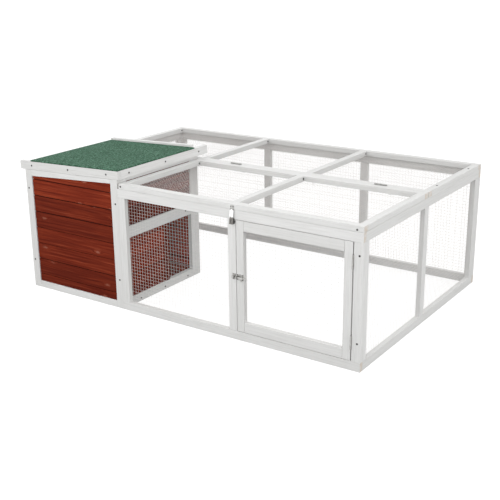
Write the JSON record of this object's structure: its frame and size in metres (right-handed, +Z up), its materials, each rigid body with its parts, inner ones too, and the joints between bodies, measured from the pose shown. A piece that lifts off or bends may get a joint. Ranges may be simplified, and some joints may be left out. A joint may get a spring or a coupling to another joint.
{
  "type": "pet run",
  "caption": "Low rectangular outdoor run of painted battens and wire net with a boarded, felt-roofed hutch in one corner, a hinged roof panel and a bolted door.",
  "frame": {"origin": "middle of the bounding box of the closed run, on the ground", "axes": "+X along the front towards the door, +Y to the back, +Z up"},
  "size_m": [1.5252, 1.01, 0.5546],
  "materials": {
    "white_wood": "painted, matt",
    "red_wood": "stained, matt",
    "ply": "raw",
    "felt": "mineral grit",
    "wire": "galvanised",
    "zinc": "zinc plated",
    "dark_steel": "dull",
    "screw": "dull"
  },
  "bodies": {
    "run": {"front_panel": "white_wood", "front_net": "wire", "right_panel": "white_wood", "right_net": "wire", "back_panel": "white_wood", "back_net": "wire", "left_panel": "white_wood", "left_net": "wire", "rear_roof_frame": "white_wood", "rear_roof_net": "wire", "hutch_front_frame": "white_wood", "hutch_front_boards": "red_wood", "hutch_back_frame": "white_wood", "hutch_back_boards": "red_wood", "hutch_left_frame": "white_wood", "hutch_left_boards": "red_wood", "doorway_frame": "white_wood", "doorway_low_boards": "red_wood", "doorway_high_boards": "red_wood", "doorway_jamb": "red_wood", "floor_bearers": "red_wood", "floor_boards": "red_wood", "run_hinge_leaves": "zinc", "run_hinge_pins": "dark_steel", "door_hinge_leaves": "zinc", "door_hinge_pins": "dark_steel", "hutch_hinge_leaves": "zinc", "hutch_hinge_pins": "dark_steel", "staple_plate": "dark_steel", "bolt_keeper": "zinc", "wall_screws": "screw"},
    "run_roof": {"run_roof_frame": "white_wood", "run_roof_net": "wire", "run_hinge_flaps": "zinc", "hasp_leaf": "zinc", "hasp_pin": "dark_steel", "run_roof_screws": "screw"},
    "hasp_strap": {"hasp_strap": "zinc"},
    "turn_staple": {"turn_staple": "dark_steel"},
    "door": {"door_frame": "white_wood", "door_net": "wire", "door_hinge_flaps": "zinc", "bolt_plate": "zinc", "door_screws": "screw"},
    "door_bolt": {"bolt_rod": "zinc"},
    "hutch_roof": {"roof_front_batten": "white_wood", "roof_right_batten": "white_wood", "roof_back_batten": "white_wood", "roof_left_batten": "white_wood", "roof_ribs": "white_wood", "roof_board": "ply", "roof_felt": "felt", "hutch_hinge_flaps": "zinc", "hutch_roof_screws": "screw"}
  },
  "joints": [
    {"name": "run_roof_hinge", "type": "hinge", "parent": "run", "child": "run_roof", "pos_m": [0.2586, -0.00605, 0.4997], "axis": [-1, 0, 0], "range_deg": [0, 180]},
    {"name": "door_hinge", "type": "hinge", "parent": "run", "child": "door", "pos_m": [0.7276, -0.49785, 0.23825], "axis": [0, 0, 1], "range_deg": [0, 180]},
    {"name": "hutch_roof_hinge", "type": "hinge", "parent": "run", "child": "hutch_roof", "pos_m": [-0.7402, -0.25115, 0.4912], "axis": [0, -1, 0], "range_deg": [0, 90]},
    {"name": "strap_hinge", "type": "hinge", "parent": "run_roof", "child": "hasp_strap", "pos_m": [0.2651, -0.49755, 0.4775], "axis": [-1, 0, 0], "range_deg": [-7.5, 130]},
    {"name": "staple_turn", "type": "hinge", "parent": "run", "child": "turn_staple", "pos_m": [0.2651, -0.49755, 0.4365], "axis": [0, -1, 0], "range_deg": [0, 90]},
    {"name": "bolt_slide", "type": "slide", "parent": "door", "child": "door_bolt", "axis": [-1, 0, 0], "range_m": [0, 0.014]}
  ]
}
